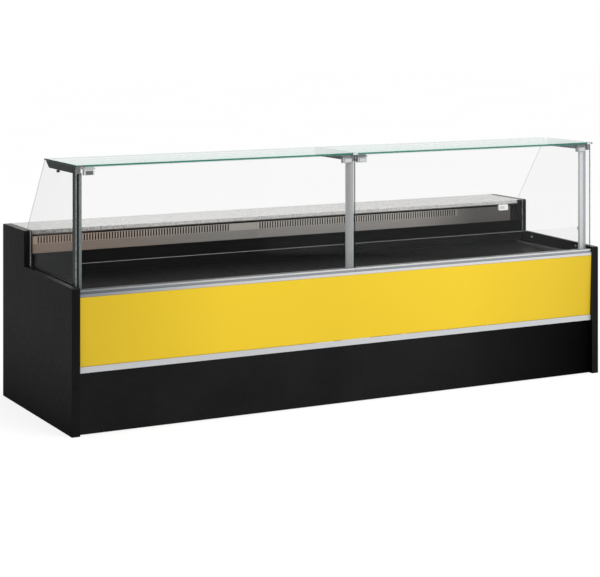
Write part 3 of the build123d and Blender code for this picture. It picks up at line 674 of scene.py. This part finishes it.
OVER = {
    "front_glass_left": "glass_front",
    "front_glass_right": "glass_front",
    "air_deflector_glass": "glass_low",
    "top_glass_left": "glass_top",
    "top_glass_right": "glass_top",
    "side_glass_left": "glass_side",
    "side_glass_right": "glass_side",
    "uprights": "anodised_upright",
    "riser_panel_left": "riser_steel",
    "riser_panel_right": "riser_steel",
    "upper_front_profile": "lip_profile",
    "hinge_profile_left": "lip_profile",
    "hinge_profile_right": "lip_profile",
    "catch_blocks": "catch_block",
    "lower_front_profile": "bright_profile",
    "thermometer": "thermometer_white",
}
for name, obj in NODES.items():
    for slot in obj.material_slots:
        key = OVER.get(name) or (slot.material.name.split(".")[0] if slot.material else "stainless")
        if key not in MATS:
            raise RuntimeError(f"no finish for {name}: {key}")
        slot.link = "OBJECT"
        slot.material = MATS[key]

# ---------------------------------------------------------------- small pieces
def place(name, mesh, material, body="case", slot=None, bevel=0.0, segments=2):
    obj = bpy.data.objects.new(name, mesh)
    bpy.context.scene.collection.objects.link(obj)
    mesh.materials.append(MATS[material])
    if bevel:
        mod = obj.modifiers.new("edges", "BEVEL")
        mod.width, mod.segments, mod.limit_method, mod.angle_limit = bevel, segments, "ANGLE", math.radians(40)
    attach(obj, body)
    return obj


def at_mm(s, b, z):
    return Vector(((s - 1500.0) / 1000.0, (b - 492.5) / 1000.0, z / 1000.0))


def cuboids(name, boxes):
    """One mesh from boxes given as (s0, s1, b0, b1, z0, z1) in millimetres along, behind and above."""
    bm = bmesh.new()
    for s0, s1, b0, b1, z0, z1 in boxes:
        lo, hi = at_mm(s0, b0, z0), at_mm(s1, b1, z1)
        bmesh.ops.create_cube(bm, size=1.0, matrix=Matrix.Translation((lo + hi) / 2) @ Matrix.Diagonal((*(hi - lo), 1.0)))
    mesh = bpy.data.meshes.new(name)
    bm.to_mesh(mesh)
    bm.free()
    return mesh


def pan_heads(name, spots, facing, radius=4.2, height=2.4):
    """Pan head screws with a cross recess. facing is the outward axis as (x, y, z)."""
    bm = bmesh.new()
    out = Vector(facing)
    turn = out.to_track_quat("Z", "Y").to_matrix().to_4x4()
    profile = [(1.0, 0.0), (1.0, 0.25), (0.90, 0.62), (0.66, 0.90), (0.42, 1.0)]
    for n, (s, b, z) in enumerate(spots):
        base = Matrix.Translation(at_mm(s, b, z)) @ turn @ Matrix.Rotation(0.5 + 1.9 * n, 4, "Z")
        rings = []
        for pr, ph in profile:
            rings.append([
                bm.verts.new(base @ Vector((math.cos(k * math.pi / 12) * radius * pr / 1000, math.sin(k * math.pi / 12) * radius * pr / 1000, height * ph / 1000)))
                for k in range(24)
            ])
        for lower, upper in zip(rings, rings[1:]):
            for k in range(24):
                bm.faces.new((lower[k], lower[(k + 1) % 24], upper[(k + 1) % 24], upper[k]))
        # recess: a cross sunk into the crown
        arm, half = 0.36 * radius / 1000, 0.10 * radius / 1000
        cross = []
        for q in range(4):
            a = q * math.pi / 2
            for px, py in ((half, half), (arm, half), (arm, -half)):
                cross.append((px * math.cos(a) - py * math.sin(a), px * math.sin(a) + py * math.cos(a)))
        order = []
        for q in range(4):
            a = -q * math.pi / 2
            for px, py in ((half, half), (arm, half), (arm, -half)):
                order.append((px * math.cos(a) - py * math.sin(a), px * math.sin(a) + py * math.cos(a)))
        top = [bm.verts.new(base @ Vector((x, y, height / 1000))) for x, y in order]
        low = [bm.verts.new(base @ Vector((x * 0.8, y * 0.8, height * 0.45 / 1000))) for x, y in order]
        m = len(order)
        for k in range(m):
            bm.faces.new((top[k], top[(k + 1) % m], low[(k + 1) % m], low[k]))
        bm.faces.new(low)
        crown = [e for e in bm.edges if e.verts[0] in rings[-1] and e.verts[1] in rings[-1]]
        inner = [e for e in bm.edges if e.verts[0] in top and e.verts[1] in top]
        bmesh.ops.triangle_fill(bm, edges=crown + inner, use_beauty=True)
        bm.faces.new([bm.verts.new(v.co.copy()) for v in reversed(rings[0])])
    bmesh.ops.remove_doubles(bm, verts=bm.verts, dist=1e-7)
    bmesh.ops.recalc_face_normals(bm, faces=bm.faces)
    mesh = bpy.data.meshes.new(name)
    bm.to_mesh(mesh)
    bm.free()
    return mesh


# a dark ribbed sheet just behind the slots of the riser, a dark piece standing in for the shade inside the duct behind
# them
ribs = [(s, s + 1.2, 652.0, 654.6, 800, 843) for s in range(52, 2500, 24)]
place("slot_shade_sheet", cuboids("slot_shade_sheet", [(44, 2956, 651.6, 652.2, 799, 844)] + ribs), "screen_black", slot="black_sheet")

# black ribbed piece at the right end of the riser; it stands in for the black inner face of the end panel seen there
# and for painted shade where the riser is set back
end_shade_boxes = [(2884, 2959.2, 646.6, 649.6, 757.5, 848.5), (2934.5, 2959.2, 646.6, 655.4, 848.5, 870.6)]
end_shade_boxes += [(s, s + 4.5, 643.4, 647.0, 757.5, 848.5) for s in (2886, 2897, 2908, 2919, 2930)]
end_shade_boxes += [(s, s + 5.0, 643.4, 647.0, 757.5, 870.6) for s in (2941, 2952)]
place("riser_end_black_and_shade", cuboids("riser_end_black_and_shade", end_shade_boxes), "ribbed_black", slot="black_sheet", bevel=0.0006)

# windows set into the thermometer and the control panel
place("thermometer_window", cuboids("thermometer_window", [(2804.5, 2835.5, 637.4, 638.3, 826.5, 841.5)]), "lcd_window", slot="white_plastic", bevel=0.0003)
place("display_window", cuboids("display_window", [(2524.5, 2591.5, 979.1, 980.7, 733.5, 766.5)]), "display_lens", slot="black_plastic", bevel=0.0005)

# fixings of the back panels
place("rear_panel_screws", pan_heads("rear_panel_screws", [(s, 975.4, z) for s in (70, 500, 960, 1440, 1560, 2040, 2420, 2930) for z in (453, 833)], (0, 1, 0)), "steel_screw", slot="steel_screw")
place("unit_grille_screws", pan_heads("unit_grille_screws", [(s, 973.4, z) for s in (1518, 1990, 2470, 2942) for z in (122, 424)], (0, 1, 0)), "steel_screw", slot="steel_screw")
place("control_panel_screws", pan_heads("control_panel_screws", [(s, 980.9, z) for s in (2509, 2731) for z in (709, 781)], (0, 1, 0), 3.2, 2.0), "steel_screw", slot="steel_screw")

# ---------------------------------------------------------------- studio
scene = bpy.context.scene
scene.view_settings.view_transform = "Standard"
scene.view_settings.look = "None"
scene.view_settings.exposure = 0.0
scene.view_settings.gamma = 1.0
scene.cycles.transparent_max_bounces = 32
scene.cycles.max_bounces = 12
scene.cycles.use_denoising = True
scene.cycles.caustics_reflective = False
scene.cycles.caustics_refractive = False

world = bpy.data.worlds.new("studio")
scene.world = world
world.cycles.sampling_method = "NONE"
world.use_nodes = True
wt = world.node_tree
wt.nodes.clear()
direction = mk(wt, "ShaderNodeTexCoord").outputs["Generated"]
split = mk(wt, "ShaderNodeSeparateXYZ", {"Vector": direction})
# what the matt surfaces receive: an even dome, a little stronger from above and from the front
up = spread(wt, split.outputs["Z"], -0.2, 1.0, 0.56, 0.76)
front = spread(wt, split.outputs["Y"], -1.0, 1.0, 1.05, 0.90)
dome = calc(wt, "MULTIPLY", up, front)
# what the shiny surfaces mirror: a white backdrop behind the case, a bright ceiling, a dim room elsewhere
back = mk(wt, "ShaderNodeVectorMath", operation="DOT_PRODUCT")
wt.links.new(direction, back.inputs[0])
back.inputs[1].default_value = (0.472, 0.882, 0.0)
drop = mk(wt, "ShaderNodeMapRange", {"Value": back.outputs["Value"], "From Min": 0.62, "From Max": 0.93, "To Min": 0.0, "To Max": 1.0}, interpolation_type="SMOOTHSTEP").outputs[0]
ceiling = mk(wt, "ShaderNodeMapRange", {"Value": split.outputs["Z"], "From Min": 0.22, "From Max": 0.75, "To Min": 0.0, "To Max": 0.95}, interpolation_type="SMOOTHSTEP").outputs[0]
mirrored = calc(wt, "MAXIMUM", calc(wt, "MAXIMUM", drop, ceiling), 0.16)
rays = mk(wt, "ShaderNodeLightPath")
shiny = rays.outputs["Is Glossy Ray"]
level = calc(wt, "ADD", calc(wt, "MULTIPLY", dome, calc(wt, "SUBTRACT", 1.0, shiny)), calc(wt, "MULTIPLY", mirrored, shiny))
soft = mk(wt, "ShaderNodeBackground", {"Color": (1.0, 0.997, 0.99, 1), "Strength": level})
seen = mk(wt, "ShaderNodeBackground", {"Color": (1, 1, 1, 1), "Strength": 1.0})
pick = mk(wt, "ShaderNodeMixShader", {"Fac": rays.outputs["Is Camera Ray"]})
wt.links.new(soft.outputs[0], pick.inputs[1])
wt.links.new(seen.outputs[0], pick.inputs[2])
wo = mk(wt, "ShaderNodeOutputWorld")
wt.links.new(pick.outputs[0], wo.inputs["Surface"])

fm, ft = new_material("studio_floor")
fco = coords(ft)
fbase = ramp(ft, noise(ft, fco, 0.6, 3), [(0.3, (0.90, 0.90, 0.90)), (0.7, (0.93, 0.93, 0.93))])
fdiff = mk(ft, "ShaderNodeBsdfDiffuse", {"Color": fbase})
fglow = mk(ft, "ShaderNodeEmission", {"Color": (1, 1, 1, 1), "Strength": 1.22})
fmix = mk(ft, "ShaderNodeMixShader", {"Fac": 0.62})
ft.links.new(fdiff.outputs[0], fmix.inputs[1])
ft.links.new(fglow.outputs[0], fmix.inputs[2])
frays = mk(ft, "ShaderNodeLightPath")
# the floor as matt surfaces see it, and the dim floor that glass and lacquer mirror
flit = mk(ft, "ShaderNodeEmission", {"Color": (1, 1, 1, 1), "Strength": 0.66})
fdim = mk(ft, "ShaderNodeEmission", {"Color": (1, 1, 1, 1), "Strength": 0.20})
other = mk(ft, "ShaderNodeMixShader", {"Fac": frays.outputs["Is Glossy Ray"]})
ft.links.new(flit.outputs[0], other.inputs[1])
ft.links.new(fdim.outputs[0], other.inputs[2])
fall = mk(ft, "ShaderNodeMixShader", {"Fac": frays.outputs["Is Camera Ray"]})
ft.links.new(other.outputs[0], fall.inputs[1])
ft.links.new(fmix.outputs[0], fall.inputs[2])
fo = mk(ft, "ShaderNodeOutputMaterial")
ft.links.new(fall.outputs[0], fo.inputs["Surface"])
bpy.ops.mesh.primitive_plane_add(size=80, location=(0, 0, -0.0004))
floor = bpy.context.object
floor.name = "studio_floor"
floor.data.materials.append(fm)


def softbox(name, place, aim, size, power, colour=(1, 1, 1)):
    data = bpy.data.lights.new(name, "AREA")
    data.shape = "RECTANGLE"
    data.size, data.size_y = size
    data.energy = power
    data.color = colour
    o = bpy.data.objects.new(name, data)
    scene.collection.objects.link(o)
    o.location = place
    o.rotation_euler = (Vector(aim) - Vector(place)).to_track_quat("-Z", "Y").to_euler()
    o.visible_camera = False
    return o


softbox("key", (0.35, -3.3, 2.1), (0.35, 0.0, 0.45), (2.0, 1.4), 39, (1.0, 0.99, 0.97)).visible_glossy = False
softbox("panel", (3.1, -4.2, 1.15), (1.2, -0.4, 0.85), (3.0, 2.2), 17, (1.0, 1.0, 1.0))
softbox("overhead", (0.0, -0.6, 4.6), (0.0, 0.0, 0.8), (4.2, 2.4), 55).visible_glossy = False

# ---------------------------------------------------------------- camera
cam_data = bpy.data.cameras.new("view")
cam = bpy.data.objects.new("view", cam_data)
scene.collection.objects.link(cam)
scene.camera = cam
cam_data.sensor_fit = "HORIZONTAL"
cam_data.sensor_width = 36.0
cam_data.lens = 103.316
cam_data.clip_start, cam_data.clip_end = 0.1, 200.0
CX, CY, CZ = -4.28943, -7.90346, 1.94681
TURN = math.radians(28.169)
cam.rotation_mode = "QUATERNION"
cam.location = (CX, CY, CZ)
cam.rotation_quaternion = Vector((math.sin(TURN), math.cos(TURN), 0.0)).to_track_quat("-Z", "Y")
# the lens is shifted down only while the camera stands at the catalogue viewpoint
shift = cam_data.driver_add("shift_y")
drv = shift.driver
drv.type = "SUM"
var = drv.variables.new()
var.name = "x"
var.type = "TRANSFORMS"
var.targets[0].id = cam
var.targets[0].transform_type = "LOC_X"
var.targets[0].transform_space = "WORLD_SPACE"
for mod in list(shift.modifiers):
    shift.modifiers.remove(mod)
for place_x, amount in ((-1000.0, 0.0), (CX - 0.02, -0.46277), (CX + 0.02, 0.0)):
    shift.keyframe_points.insert(place_x, amount).interpolation = "CONSTANT"
shift.extrapolation = "CONSTANT"
